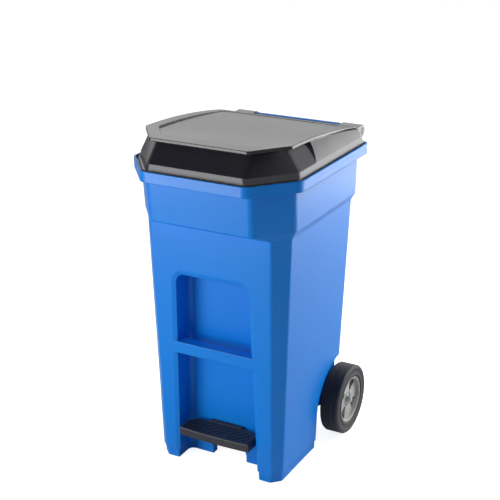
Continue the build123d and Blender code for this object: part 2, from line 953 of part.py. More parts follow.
with BuildPart() as pedal:
    extrude(tread_outline(tread_top - tread_height, 0), amount=tread_height)
    fillet(pedal.faces().sort_by(Axis.Z)[-1].edges(), radius=tread_wall * 0.9)
    extrude(
        tread_outline(tread_top - tread_height, tread_wall),
        amount=tread_height - tread_wall,
        mode=Mode.SUBTRACT,
    )
    # Flap behind the tread that covers the notch, and its stiffening ribs.
    with Locations((0, tread_back - tread_wall, tread_top + flap_rise)):
        Box(
            2 * flap_half,
            flap_thick + tread_wall,
            tread_height + flap_rise,
            align=(Align.CENTER, Align.MIN, Align.MAX),
        )
    with Locations((0, (tread_front + tread_back) / 2, tread_top - tread_wall)):
        with GridLocations(2 * (arm_half + arm_side_gap + tread_wall), 0, 2, 1):
            Box(
                tread_wall,
                tread_depth - 2 * tread_wall,
                tread_height - 2 * tread_wall,
                align=(Align.CENTER, Align.CENTER, Align.MAX),
            )
    # The arm passes under the flap.
    with Locations((0, tread_back, arm_top + side_gap)):
        Box(
            2 * (arm_half + arm_side_gap),
            4 * flap_thick,
            2 * tread_height,
            align=(Align.CENTER, Align.CENTER, Align.MAX),
            mode=Mode.SUBTRACT,
        )
    # Slanting grooves in the tread, and blind holes for the screws from under the arm.
    with BuildSketch(Plane.XY.offset(tread_top)):
        with Locations((0, (tread_front + tread_back) / 2)):
            with GridLocations(groove_pitch, 0, groove_count, 1):
                Rectangle(groove_width, 2 * tread_depth, rotation=-groove_turn)
        add(tread_outline(tread_top, groove_margin), mode=Mode.INTERSECT)
    extrude(amount=-groove_depth, mode=Mode.SUBTRACT)
    with BuildSketch(Plane.XY.offset(tread_top - tread_wall)):
        with Locations((0, arm_front + screw_pitch / 2)):
            with GridLocations(screw_pitch, 0, 2, 1):
                Circle(screw_radius + run_fit)
    extrude(amount=screw_bite + side_gap, mode=Mode.SUBTRACT)

with BuildPart() as pedal_screw:
    with Locations((screw_pitch / 2, arm_front + screw_pitch / 2, arm_top - arm_thick)):
        Cylinder(
            screw_head_radius,
            screw_head,
            align=(Align.CENTER, Align.CENTER, Align.MAX),
        )
        Cylinder(
            screw_radius,
            arm_thick + side_gap + screw_bite,
            align=(Align.CENTER, Align.CENTER, Align.MIN),
        )

# ------------------------------------------------------------------ wheels
# Hub: rim ring, boss and a web whose windows leave flat spokes.
with BuildPart() as hub_blank:
    with BuildSketch(Plane.YZ.offset(wheel_inner + hub_inset)):
        with Locations((wheel_y, wheel_z)):
            Circle(hub_radius)
            Circle(hub_radius - hub_wall, mode=Mode.SUBTRACT)
    extrude(amount=wheel_width - 2 * hub_inset)
    with BuildSketch(Plane.YZ.offset(wheel_inner)):
        with Locations((wheel_y, wheel_z)):
            Circle(hub_boss_radius)
    extrude(amount=hub_face - wheel_inner)
    with BuildSketch(Plane.YZ.offset(hub_face - web_set)):
        with Locations((wheel_y, wheel_z)):
            Circle(hub_radius - hub_wall / 2)
            with PolarLocations(0, spoke_count, start_angle=90):
                Polygon(
                    (window_low, -window_low_half),
                    (window_high, -window_high_half),
                    (window_high, window_high_half),
                    (window_low, window_low_half),
                    align=None,
                    mode=Mode.SUBTRACT,
                )
    extrude(amount=-web_thick)
    with BuildSketch(Plane.YZ.offset(wheel_inner)):
        with Locations((wheel_y, wheel_z)):
            Circle(axle_radius + run_fit)
    extrude(amount=wheel_width, mode=Mode.SUBTRACT)
wheel_hub = hub_blank.part

# Tyre: solid rubber with bevelled shoulders and grooves round the tread.
with BuildPart() as tyre_blank:
    with BuildSketch(Plane((wheel_inner, wheel_y, wheel_z), x_dir=(1, 0, 0), z_dir=(0, 1, 0))):
        with BuildLine():
            Polyline(
                (0, -hub_radius),
                (0, tyre_shoulder - wheel_radius),
                (tyre_shoulder, -wheel_radius),
                (wheel_width - tyre_shoulder, -wheel_radius),
                (wheel_width, tyre_shoulder - wheel_radius),
                (wheel_width, -hub_radius),
                close=True,
            )
        make_face()
        with Locations((wheel_width / 2, -wheel_radius)):
            with GridLocations(tread_pitch, 0, tread_grooves, 1):
                Polygon(
                    (-tread_groove, 0),
                    (tread_groove, 0),
                    (0, tread_groove_depth),
                    align=None,
                    mode=Mode.SUBTRACT,
                )
    revolve(axis=Axis((wheel_inner, wheel_y, wheel_z), (1, 0, 0)))
wheel_tyre = tyre_blank.part

# ------------------------------------------------------------------ export
pieces = {
    "container": container.part,
    "lid": lid.part,
    "hinge_rod": hinge_rod,
    "axle": axle,
    "pedal": pedal.part,
    "pedal_arm": pedal_arm.part,
    "pedal_pivot_rod": pedal_pivot_rod,
    "pedal_cross_rod": pedal_cross_rod,
}
paired = {
    "hinge_cap": hinge_cap,
    "lift_lever": lift_lever,
    "crank_pin": crank_pin,
    "crank_roller": crank_roller,
    "lift_rod": lift_rod,
    "pedal_screw": pedal_screw.part,
    "wheel_spacer": wheel_spacer,
    "wheel_hub": wheel_hub,
    "wheel_tyre": wheel_tyre,
    "axle_washer": washer,
    "axle_nut": axle_nut,
}
for piece_name, piece in paired.items():
    pieces[piece_name + "_right"] = piece
    pieces[piece_name + "_left"] = mirror(piece, about=Plane.YZ)

os.makedirs("parts", exist_ok=True)
for piece_name, piece in pieces.items():
    piece.label = piece_name
    export_step(piece, "parts/" + piece_name + ".step")
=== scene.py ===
"""Step-on wheelie bin of blue plastic with a black lid: its looks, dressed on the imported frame."""

import math

import bpy
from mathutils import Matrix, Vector


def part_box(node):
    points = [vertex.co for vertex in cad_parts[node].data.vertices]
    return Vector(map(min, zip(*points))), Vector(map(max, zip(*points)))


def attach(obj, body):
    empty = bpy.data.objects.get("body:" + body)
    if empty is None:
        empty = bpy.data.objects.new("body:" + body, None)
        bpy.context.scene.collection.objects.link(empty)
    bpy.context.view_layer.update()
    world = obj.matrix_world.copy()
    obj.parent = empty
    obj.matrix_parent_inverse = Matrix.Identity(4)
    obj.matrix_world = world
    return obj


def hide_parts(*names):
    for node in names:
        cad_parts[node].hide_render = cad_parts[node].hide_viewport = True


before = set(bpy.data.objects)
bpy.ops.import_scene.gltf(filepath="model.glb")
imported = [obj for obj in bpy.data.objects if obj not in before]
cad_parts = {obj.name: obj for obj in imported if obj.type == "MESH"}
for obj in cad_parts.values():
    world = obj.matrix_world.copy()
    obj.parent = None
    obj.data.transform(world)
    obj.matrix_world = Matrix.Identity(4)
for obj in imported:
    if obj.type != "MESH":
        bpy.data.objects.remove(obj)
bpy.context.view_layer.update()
bpy.context.scene.view_settings.view_transform = "Standard"

# ---------------------------------------------------------------------------------------------
# Studio floor. A wide matt white floor that fades into the white room behind it. It keeps the
# soft shadow under the bin, and gloss that looks down sees it nearly dark.
# ---------------------------------------------------------------------------------------------

FLOOR_SIDE = 40.0
FLOOR_TINT = (0.70, 0.70, 0.70, 1.0)
FLOOR_ROUGHNESS = 0.9
FLOOR_SPECULAR = 0.1
FLOOR_GLOW = 0.86
FLOOR_GLOW_IN_GLOSS = 0.06


def by_ray(tree, to_eye, to_gloss, to_things):
    """One number for rays from the eye, one for gloss and glass, and one for light on things."""
    path = tree.nodes.new("ShaderNodeLightPath")
    total = None
    for rays, share in (
        (("Is Camera Ray",), to_eye - to_things),
        (("Is Glossy Ray", "Is Transmission Ray"), to_gloss - to_things),
    ):
        for ray in rays:
            part = tree.nodes.new("ShaderNodeMath")
            part.operation = "MULTIPLY_ADD"
            tree.links.new(path.outputs[ray], part.inputs[0])
            part.inputs[1].default_value = share
            if total is None:
                part.inputs[2].default_value = to_things
            else:
                tree.links.new(total, part.inputs[2])
            total = part.outputs[0]
    return total


bpy.ops.object.select_all(action="DESELECT")
bpy.ops.mesh.primitive_plane_add(size=FLOOR_SIDE, location=(0.0, 0.0, 0.0))
floor = bpy.context.object
floor.name = "studio_floor"
floor_paint = bpy.data.materials.new("studio_floor_paint")
floor_paint.use_nodes = True
tree = floor_paint.node_tree
paint = tree.nodes["Principled BSDF"]
paint.inputs["Base Color"].default_value = FLOOR_TINT
paint.inputs["Roughness"].default_value = FLOOR_ROUGHNESS
paint.inputs["Specular IOR Level"].default_value = FLOOR_SPECULAR
glow = tree.nodes.new("ShaderNodeEmission")
tree.links.new(by_ray(tree, FLOOR_GLOW, FLOOR_GLOW_IN_GLOSS, 0.0), glow.inputs["Strength"])
both = tree.nodes.new("ShaderNodeAddShader")
tree.links.new(paint.outputs[0], both.inputs[0])
tree.links.new(glow.outputs[0], both.inputs[1])
tree.links.new(both.outputs[0], tree.nodes["Material Output"].inputs["Surface"])
floor.data.materials.append(floor_paint)

# ---------------------------------------------------------------------------------------------
# Studio room. White to the eye all round. Gloss sees its walls a little less bright, and a dark
# ceiling above them, and things get a faint even light from it.
# ---------------------------------------------------------------------------------------------

ROOM_WHITE = (1.0, 1.0, 1.0, 1.0)
ROOM_TO_EYE = 1.0
ROOM_IN_GLOSS = 0.86
ROOM_LIGHT = 0.20
CEILING_LIGHT = 0.05
CEILING_STARTS = 0.28
CEILING_FULL = 0.60

room = bpy.data.worlds.new("white_room")
bpy.context.scene.world = room
room.use_nodes = True
tree = room.node_tree
walls = tree.nodes["Background"]
walls.inputs["Color"].default_value = ROOM_WHITE
tree.links.new(by_ray(tree, ROOM_TO_EYE, ROOM_IN_GLOSS, ROOM_LIGHT), walls.inputs["Strength"])
ceiling = tree.nodes.new("ShaderNodeBackground")
ceiling.inputs["Strength"].default_value = CEILING_LIGHT
way = tree.nodes.new("ShaderNodeTexCoord")
upward = tree.nodes.new("ShaderNodeSeparateXYZ")
tree.links.new(way.outputs["Generated"], upward.inputs[0])
climb = tree.nodes.new("ShaderNodeMapRange")
climb.inputs["From Min"].default_value = CEILING_STARTS
climb.inputs["From Max"].default_value = CEILING_FULL
tree.links.new(upward.outputs["Z"], climb.inputs["Value"])
ray = tree.nodes.new("ShaderNodeLightPath")
glossy_up = tree.nodes.new("ShaderNodeMath")
glossy_up.operation = "MULTIPLY"
tree.links.new(ray.outputs["Is Glossy Ray"], glossy_up.inputs[0])
tree.links.new(climb.outputs["Result"], glossy_up.inputs[1])
overhead = tree.nodes.new("ShaderNodeMixShader")
tree.links.new(glossy_up.outputs[0], overhead.inputs["Fac"])
tree.links.new(walls.outputs[0], overhead.inputs[1])
tree.links.new(ceiling.outputs[0], overhead.inputs[2])
tree.links.new(overhead.outputs[0], tree.nodes["World Output"].inputs["Surface"])

# ---------------------------------------------------------------------------------------------
# Studio lamps. A softbox at the front left with a low strip under it that the rim and the lid's
# foot mirror, a softbox and a high fill at the right, and a large one high behind for the lid.
# ---------------------------------------------------------------------------------------------


def soft_lamp(name, place, aim, width, height, watts):
    """A rectangular softbox that points at aim. It shines and is mirrored, and isn't seen itself."""
    lamp = bpy.data.lights.new(name, "AREA")
    lamp.shape = "RECTANGLE"
    lamp.size, lamp.size_y, lamp.energy = width, height, watts
    holder = bpy.data.objects.new(name, lamp)
    holder.location = place
    holder.rotation_euler = (Vector(aim) - Vector(place)).to_track_quat("-Z", "Y").to_euler()
    holder.visible_camera = False
    bpy.context.scene.collection.objects.link(holder)


soft_lamp("front_softbox", (-1.05, -1.95, 0.86), (0.0, -0.2, 0.80), width=1.2, height=1.45, watts=27.0)
soft_lamp("low_strip", (-1.02, -1.98, 0.21), (0.0, -0.3, 0.84), width=1.1, height=0.16, watts=6.0)
soft_lamp("side_softbox", (1.45, 1.60, 0.55), (0.2, 0.0, 0.60), width=2.6, height=1.0, watts=32.0)
soft_lamp("side_fill", (1.7, 1.6, 2.8), (0.2, 0.0, 0.5), width=1.2, height=1.2, watts=50.0)
soft_lamp("back_softbox", (-1.9, 3.7, 3.3), (0.0, 0.0, 0.9), width=3.0, height=3.0, watts=24.0)

# ---------------------------------------------------------------------------------------------
# Studio camera. A long lens a little above the bin, off its front right corner.
# ---------------------------------------------------------------------------------------------

EYE_PLACE = (1.4083, -2.6094, 1.6885)
EYE_YAW = 28.25
EYE_PITCH = 20.46
EYE_LENS = 83.48
EYE_SENSOR = 36.0
EYE_SHIFT = (-0.0065, -0.0006)
EYE_REACH = 100.0

lens = bpy.data.cameras.new("studio_camera")
lens.lens = EYE_LENS
lens.sensor_width = EYE_SENSOR
lens.shift_x, lens.shift_y = EYE_SHIFT
lens.clip_end = EYE_REACH
eye = bpy.data.objects.new("studio_camera", lens)
eye.location = EYE_PLACE
eye.rotation_euler = (math.radians(90.0 - EYE_PITCH), 0.0, math.radians(EYE_YAW))
bpy.context.scene.collection.objects.link(eye)
bpy.context.scene.camera = eye

# ---------------------------------------------------------------------------------------------
# Container. One piece of injection-moulded blue polyethylene with its handle, walls and feet,
# a little glossy, with a fine eggshell grain and softly rounded edges that handling has rubbed.
# ---------------------------------------------------------------------------------------------

BIN_BLUE = (0.0, 0.200, 0.725, 1.0)
RUBBED_BLUE = (0.004, 0.252, 0.785, 1.0)
FLOOR_DUST = (0.30, 0.28, 0.25, 1.0)
DUST_REACH = 0.16
GRAIN_LUMPS = 420.0
SINK_LUMPS = 7.0
SINK_HEIGHT = 9.0
RELIEF_DEPTH = 0.0002
RELIEF_STRENGTH = 0.5
EDGE_GAIN = 7.0
CLOUD_LUMPS = 5.0
STREAK_LUMPS = 26.0
STREAK_STRETCH = (1.0, 1.0, 0.22)
WEAR_LUMPS = 45.0
# Painted shade in hollows: the share of the plastic's colour left deep in grooves and corners, and the
# roughness added there.
HOLLOW_SHADE_TINT = 0.18
HOLLOW_MATT = 0.5


def shader_group(name, takes, gives):
    """An empty node group with these sockets, and its input and output nodes."""
    tree = bpy.data.node_groups.new(name, "ShaderNodeTree")
    for label, kind, value in takes:
        socket = tree.interface.new_socket(label, in_out="INPUT", socket_type="NodeSocket" + kind)
        if value is not None:
            socket.default_value = value
    for label, kind in gives:
        tree.interface.new_socket(label, in_out="OUTPUT", socket_type="NodeSocket" + kind)
    return tree, tree.nodes.new("NodeGroupInput").outputs, tree.nodes.new("NodeGroupOutput").inputs


def calculate(tree, operation, first, second, clamp=False):
    """A math node on two sockets or numbers, and its result."""
    sum_node = tree.nodes.new("ShaderNodeMath")
    sum_node.operation = operation
    sum_node.use_clamp = clamp
    for socket, value in zip(sum_node.inputs, (first, second)):
        if isinstance(value, (int, float)):
            socket.default_value = value
        else:
            tree.links.new(value, socket)
    return sum_node.outputs[0]


def speckle(tree, where, lumps, detail, stretch=(1.0, 1.0, 1.0)):
    """Soft noise of that many lumps a metre, drawn out along the axes by stretch."""
    placed = tree.nodes.new("ShaderNodeMapping")
    placed.inputs["Scale"].default_value = stretch
    tree.links.new(where, placed.inputs["Vector"])
    noise = tree.nodes.new("ShaderNodeTexNoise")
    noise.inputs["Scale"].default_value = lumps
    noise.inputs["Detail"].default_value = detail
    tree.links.new(placed.outputs["Vector"], noise.inputs["Vector"])
    return noise.outputs["Fac"]


def ramp(tree, value, low, high):
    """0 below low and 1 above high, smooth between."""
    step = tree.nodes.new("ShaderNodeMapRange")
    step.interpolation_type = "SMOOTHSTEP"
    step.inputs["From Min"].default_value = low
    step.inputs["From Max"].default_value = high
    tree.links.new(value, step.inputs["Value"])
    return step.outputs["Result"]


def blend_colours(tree, share, first, second):
    """first turning into second as share goes from 0 to 1."""
    mix = tree.nodes.new("ShaderNodeMix")
    mix.data_type = "RGBA"
    for socket, value in ((mix.inputs[0], share), (mix.inputs[6], first), (mix.inputs[7], second)):
        if isinstance(value, (int, float, tuple)):
            socket.default_value = value
        else:
            tree.links.new(value, socket)
    return mix.outputs[2]


# Soft edges: the normal rounds every edge off, and Edge is 1 along it and 0 on the flat.
edge_tree, takes, gives = shader_group(
    "soft_edge", [("Radius", "Float", 0.002)], [("Normal", "Vector"), ("Edge", "Float")]
)
round_off = edge_tree.nodes.new("ShaderNodeBevel")
round_off.samples = 8
edge_tree.links.new(takes["Radius"], round_off.inputs["Radius"])
true_face = edge_tree.nodes.new("ShaderNodeNewGeometry")
lean = edge_tree.nodes.new("ShaderNodeVectorMath")
lean.operation = "DOT_PRODUCT"
edge_tree.links.new(round_off.outputs["Normal"], lean.inputs[0])
edge_tree.links.new(true_face.outputs["Normal"], lean.inputs[1])
edge_tree.links.new(round_off.outputs["Normal"], gives["Normal"])
turned_away = calculate(edge_tree, "SUBTRACT", 1.0, lean.outputs["Value"])
edge_tree.links.new(calculate(edge_tree, "MULTIPLY", turned_away, EDGE_GAIN, clamp=True), gives["Edge"])

# Moulded grain: the fine texture of the mould over the broad waves of a wall that has sunk.
grain_tree, takes, gives = shader_group(
    "moulded_grain", [("Vector", "Vector", None), ("Grain", "Float", 1.0)], [("Height", "Float")]
)
fine = speckle(grain_tree, takes["Vector"], GRAIN_LUMPS, detail=2.0)
sink = speckle(grain_tree, takes["Vector"], SINK_LUMPS, detail=1.0)
fine_height = calculate(grain_tree, "MULTIPLY", fine, takes["Grain"])
sink_height = calculate(grain_tree, "MULTIPLY", sink, SINK_HEIGHT)
grain_tree.links.new(calculate(grain_tree, "ADD", fine_height, sink_height), gives["Height"])

# Painted hollow shade: Open is 1 on an open face and falls to 0 deep in a groove or corner, where the
# colour is painted darker as shade.
hollow_shade_tree, takes, gives = shader_group("painted_hollow_shade", [("Reach", "Float", 0.005)], [("Open", "Float")])
cranny = hollow_shade_tree.nodes.new("ShaderNodeAmbientOcclusion")
cranny.samples = 8
hollow_shade_tree.links.new(takes["Reach"], cranny.inputs["Distance"])
hollow_shade_tree.links.new(ramp(hollow_shade_tree, cranny.outputs["AO"], 0.25, 0.95), gives["Open"])

# Handling: faded clouds, upright streaks and rubbed edges, and dust on what is near the ground.
use_tree, takes, gives = shader_group(
    "handling",
    [
        ("Vector", "Vector", None),
        ("Colour", "Color", None),
        ("Rubbed", "Color", None),
        ("Edge", "Float", 0.0),
        ("Roughness", "Float", 0.4),
        ("Dust", "Float", 0.0),
    ],
    [("Colour", "Color"), ("Roughness", "Float")],
)
cloud = ramp(use_tree, speckle(use_tree, takes["Vector"], CLOUD_LUMPS, detail=1.5), 0.05, 0.95)
long_noise = speckle(use_tree, takes["Vector"], STREAK_LUMPS, detail=1.0, stretch=STREAK_STRETCH)
streak = ramp(use_tree, long_noise, 0.0, 1.0)
broken = ramp(use_tree, speckle(use_tree, takes["Vector"], WEAR_LUMPS, detail=4.0), 0.42, 0.60)
worn = calculate(use_tree, "MULTIPLY", takes["Edge"], broken, clamp=True)
edge_rub = calculate(use_tree, "MULTIPLY", worn, 0.55)
rub = calculate(use_tree, "ADD", edge_rub, calculate(use_tree, "MULTIPLY", streak, 0.10), clamp=True)
fading = calculate(use_tree, "MULTIPLY", cloud, 0.20)
faded = blend_colours(use_tree, fading, takes["Colour"], takes["Rubbed"])
rubbed = blend_colours(use_tree, rub, faded, takes["Rubbed"])
height = use_tree.nodes.new("ShaderNodeSeparateXYZ")
use_tree.links.new(takes["Vector"], height.inputs[0])
low_down = calculate(use_tree, "SUBTRACT", 1.0, ramp(use_tree, height.outputs["Z"], 0.0, DUST_REACH))
dusty = calculate(use_tree, "MULTIPLY", low_down, cloud)
settled = calculate(use_tree, "MULTIPLY", dusty, takes["Dust"])
use_tree.links.new(blend_colours(use_tree, settled, rubbed, FLOOR_DUST), gives["Colour"])
rougher = calculate(use_tree, "ADD", takes["Roughness"], calculate(use_tree, "MULTIPLY", cloud, 0.06))
rougher = calculate(use_tree, "ADD", rougher, calculate(use_tree, "MULTIPLY", rub, 0.12))
dust_matt = calculate(use_tree, "MULTIPLY", settled, 0.5)
use_tree.links.new(calculate(use_tree, "ADD", rougher, dust_matt, clamp=True), gives["Roughness"])


def use_group(tree, group, **values):
    """The named effect, placed in a material with its own numbers."""
    placed = tree.nodes.new("ShaderNodeGroup")
    placed.node_tree = group
    for label, value in values.items():
        if isinstance(value, (int, float, tuple)):
            placed.inputs[label].default_value = value
        else:
            tree.links.new(value, placed.inputs[label])
    return placed.outputs


def add_relief(tree, surface, height, edge_normal, depth, strength):
    """Bumps of that height on the rounded normal, given to the surface."""
    relief = tree.nodes.new("ShaderNodeBump")
    relief.inputs["Distance"].default_value = depth
    relief.inputs["Strength"].default_value = strength
    tree.links.new(height, relief.inputs["Height"])
    tree.links.new(edge_normal, relief.inputs["Normal"])
    tree.links.new(relief.outputs["Normal"], surface.inputs["Normal"])


def moulded_plastic(name, colour, rubbed, roughness, specular, edge_radius, grain, dust=0.0, hollow=0.0):
    """A moulded plastic, grained and rubbed paler with use, with shade painted darker into hollows of
    that reach.
    """
    plastic = bpy.data.materials.new(name)
    plastic.use_nodes = True
    tree = plastic.node_tree
    surface = tree.nodes["Principled BSDF"]
    surface.inputs["Specular IOR Level"].default_value = specular
    where = tree.nodes.new("ShaderNodeTexCoord").outputs["Object"]
    edge = use_group(tree, edge_tree, Radius=edge_radius)
    handled = use_group(tree, use_tree, Vector=where, Colour=colour, Rubbed=rubbed,
                        Edge=edge["Edge"], Roughness=roughness, Dust=dust)
    bumps = use_group(tree, grain_tree, Vector=where, Grain=grain)
    shown, rough = handled["Colour"], handled["Roughness"]
    if hollow:
        open_face = use_group(tree, hollow_shade_tree, Reach=hollow)["Open"]
        # Painted shade: deep in the hollows the colour darkens to this share of itself and turns matt.
        hollow_shade = tuple(HOLLOW_SHADE_TINT * part for part in colour[:3]) + (1.0,)
        shown = blend_colours(tree, open_face, hollow_shade, shown)
        matt = calculate(tree, "MULTIPLY", calculate(tree, "SUBTRACT", 1.0, open_face), HOLLOW_MATT)
        rough = calculate(tree, "ADD", rough, matt, clamp=True)
    tree.links.new(shown, surface.inputs["Base Color"])
    tree.links.new(rough, surface.inputs["Roughness"])
    add_relief(tree, surface, bumps["Height"], edge["Normal"], RELIEF_DEPTH, RELIEF_STRENGTH)
    return plastic


def dress(finish, *nodes):
    """Gives these nodes of the frame their finish."""
    for node in nodes:
        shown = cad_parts[node]
        shown.data.materials.clear()
        shown.data.materials.append(finish)


bin_plastic = moulded_plastic("bin_blue_plastic", BIN_BLUE, RUBBED_BLUE, roughness=0.27,
                              specular=0.32, edge_radius=0.003, grain=0.06, dust=0.05)
dress(bin_plastic, "container")

# ---------------------------------------------------------------------------------------------
# Lid. One piece of injection-moulded black polypropylene, glossier than the bin. Its two
# knuckles turn on the hinge rod at the ends of the handle bar.
# ---------------------------------------------------------------------------------------------

LID_BLACK = (0.012, 0.012, 0.020, 1.0)
RUBBED_BLACK = (0.060, 0.060, 0.066, 1.0)

lid_plastic = moulded_plastic("lid_black_plastic", LID_BLACK, RUBBED_BLACK, roughness=0.20,
                              specular=0.55, edge_radius=0.0035, grain=0.08)
dress(lid_plastic, "lid")

# ---------------------------------------------------------------------------------------------
# Hinge rod and its caps. A zinc-plated steel rod runs through the handle bar and both knuckles
# of the lid, and a black plastic cap is pushed on each end.
# ---------------------------------------------------------------------------------------------

ZINC_BRIGHT = (0.62, 0.63, 0.65, 1.0)
ZINC_DULL = (0.42, 0.43, 0.44, 1.0)
PATCH_LUMPS = 38.0
PATCH_ROUGHER = 0.16
DRAWN_LUMPS = 420.0
COAT_DEPTH = 0.0001
COAT_STRENGTH = 0.4

# Zinc coat: bright steel that has dulled in cloudy patches, over fine marks from drawing.
zinc_tree, takes, gives = shader_group(
    "zinc_coat",
    [
        ("Vector", "Vector", None),
        ("Bright", "Color", None),
        ("Dull", "Color", None),
        ("Roughness", "Float", 0.3),
    ],
    [("Colour", "Color"), ("Roughness", "Float"), ("Height", "Float")],
)
patch = ramp(zinc_tree, speckle(zinc_tree, takes["Vector"], PATCH_LUMPS, detail=4.0), 0.34, 0.68)
drawn = speckle(zinc_tree, takes["Vector"], DRAWN_LUMPS, detail=3.0)
zinc_tree.links.new(blend_colours(zinc_tree, patch, takes["Bright"], takes["Dull"]), gives["Colour"])
patch_matt = calculate(zinc_tree, "MULTIPLY", patch, PATCH_ROUGHER)
zinc_tree.links.new(calculate(zinc_tree, "ADD", takes["Roughness"], patch_matt), gives["Roughness"])
zinc_tree.links.new(drawn, gives["Height"])


def zinc_steel(name, bright, dull, roughness, edge_radius):
    """Zinc-plated steel with clouded patches."""
    steel = bpy.data.materials.new(name)
    steel.use_nodes = True
    tree = steel.node_tree
    surface = tree.nodes["Principled BSDF"]
    surface.inputs["Metallic"].default_value = 1.0
    where = tree.nodes.new("ShaderNodeTexCoord").outputs["Object"]
    coat = use_group(tree, zinc_tree, Vector=where, Bright=bright, Dull=dull, Roughness=roughness)
    edge = use_group(tree, edge_tree, Radius=edge_radius)
    tree.links.new(coat["Colour"], surface.inputs["Base Color"])
    tree.links.new(coat["Roughness"], surface.inputs["Roughness"])
    add_relief(tree, surface, coat["Height"], edge["Normal"], COAT_DEPTH, COAT_STRENGTH)
    return steel


zinc = zinc_steel("zinc_plated_steel", ZINC_BRIGHT, ZINC_DULL, roughness=0.26, edge_radius=0.0006)
cap_plastic = moulded_plastic("cap_black_plastic", LID_BLACK, RUBBED_BLACK, roughness=0.38,
                              specular=0.50, edge_radius=0.001, grain=0.6)
dress(zinc, "hinge_rod")
dress(cap_plastic, "hinge_cap_left", "hinge_cap_right")

# ---------------------------------------------------------------------------------------------
# Lift linkage. Flat steel levers on the ends of the handle bar push the lid's knuckles up with
# rollers of natural nylon on pins, and two long steel rods join them to the pedal below.
# ---------------------------------------------------------------------------------------------

NYLON = (0.55, 0.54, 0.50, 1.0)
NYLON_WORN = (0.62, 0.61, 0.58, 1.0)

nylon = moulded_plastic("natural_nylon", NYLON, NYLON_WORN, roughness=0.45,
                        specular=0.50, edge_radius=0.001, grain=0.4)
for side in ("left", "right"):
    dress(zinc, "lift_lever_" + side, "crank_pin_" + side, "lift_rod_" + side)
    dress(nylon, "crank_roller_" + side)

# ---------------------------------------------------------------------------------------------
# Pedal arm. A channel folded from galvanised steel sheet that runs through the tunnel in the
# floor. It turns on one plated rod, and carries another across its end that pulls the lift rods.
# ---------------------------------------------------------------------------------------------

arm_steel = zinc_steel("arm_galvanised_steel", ZINC_DULL, ZINC_DULL, roughness=0.45, edge_radius=0.0015)
dress(arm_steel, "pedal_arm")
dress(zinc, "pedal_pivot_rod", "pedal_cross_rod")

# ---------------------------------------------------------------------------------------------
# Pedal tread. A black moulded step with slanting grooves, satin from shoe soles, with shade
# painted darker into its grooves. Two plated screws hold it to the arm from below.
# ---------------------------------------------------------------------------------------------

TREAD_BLACK = (0.012, 0.014, 0.022, 1.0)

# The hollow reach paints shade darker into the slanting grooves.
tread_plastic = moulded_plastic("tread_black_plastic", TREAD_BLACK, RUBBED_BLACK, roughness=0.42,
                                specular=0.50, edge_radius=0.003, grain=0.3, dust=0.10, hollow=0.004)
dress(tread_plastic, "pedal")
dress(zinc, "pedal_screw_left", "pedal_screw_right")

# ---------------------------------------------------------------------------------------------
# Axle. A plated steel axle with threaded ends. A black plastic spacer stands behind each wheel,
# and a plated washer and nut hold the wheel on from outside.
# ---------------------------------------------------------------------------------------------

dress(zinc, "axle")
for side in ("left", "right"):
    dress(cap_plastic, "wheel_spacer_" + side)
    dress(zinc, "axle_washer_" + side, "axle_nut_" + side)

# ---------------------------------------------------------------------------------------------
# Tyres. Solid black rubber with five grooves round the tread, rounded shoulders and two raised
# rings on each sidewall. Each is stretched over its hub and turns with it.
# ---------------------------------------------------------------------------------------------

TYRE_BLACK = (0.019, 0.019, 0.028, 1.0)
TYRE_SCUFFED = (0.060, 0.058, 0.062, 1.0)
TREAD_GROOVES = 5
TREAD_PITCH = 0.0086
GROOVE_HALF = 0.0016
GROOVE_DEEP = 0.0030
SHOULDER = 0.006
RING_HIGH = 0.0011
TYRE_EDGE = 0.0005
TURN_STEPS = 120
WELD = 0.00002
SOFTEN_OVER = 28.0
SMOOTH_UNDER = 40.0


def turned(name, profile, round_edges):
    """A piece spun about the X axis at the origin, from (along, radius) points in order."""
    bpy.ops.object.select_all(action="DESELECT")
    bpy.ops.mesh.primitive_plane_add(size=0.01, location=(0.0, 0.0, 0.0))
    piece = bpy.context.object
    piece.name = name
    bpy.ops.object.mode_set(mode="EDIT")
    bpy.ops.mesh.select_all(action="SELECT")
    bpy.ops.mesh.merge(type="CENTER")
    bpy.ops.transform.translate(value=(profile[0][0], 0.0, profile[0][1]))
    for (along, radius), (next_along, next_radius) in zip(profile, profile[1:] + profile[:1]):
        step = (next_along - along, 0.0, next_radius - radius)
        bpy.ops.mesh.extrude_region_move(TRANSFORM_OT_translate={"value": step})
    bpy.ops.mesh.select_all(action="SELECT")
    bpy.ops.mesh.remove_doubles(threshold=WELD)
    bpy.ops.mesh.select_all(action="SELECT")
    bpy.ops.mesh.spin(steps=TURN_STEPS, angle=2.0 * math.pi, center=(0.0, 0.0, 0.0), axis=(1.0, 0.0, 0.0))
    bpy.ops.mesh.select_all(action="SELECT")
    bpy.ops.mesh.remove_doubles(threshold=WELD)
    bpy.ops.mesh.select_all(action="SELECT")
    bpy.ops.mesh.normals_make_consistent(inside=False)
    bpy.ops.object.mode_set(mode="OBJECT")
    soften = piece.modifiers.new("moulded_edges", "BEVEL")
    soften.width = round_edges
    soften.segments = 2
    soften.limit_method = "ANGLE"
    soften.angle_limit = math.radians(SOFTEN_OVER)
    bpy.ops.object.modifier_apply(modifier=soften.name)
    bpy.ops.object.shade_smooth_by_angle(angle=math.radians(SMOOTH_UNDER))
    return piece


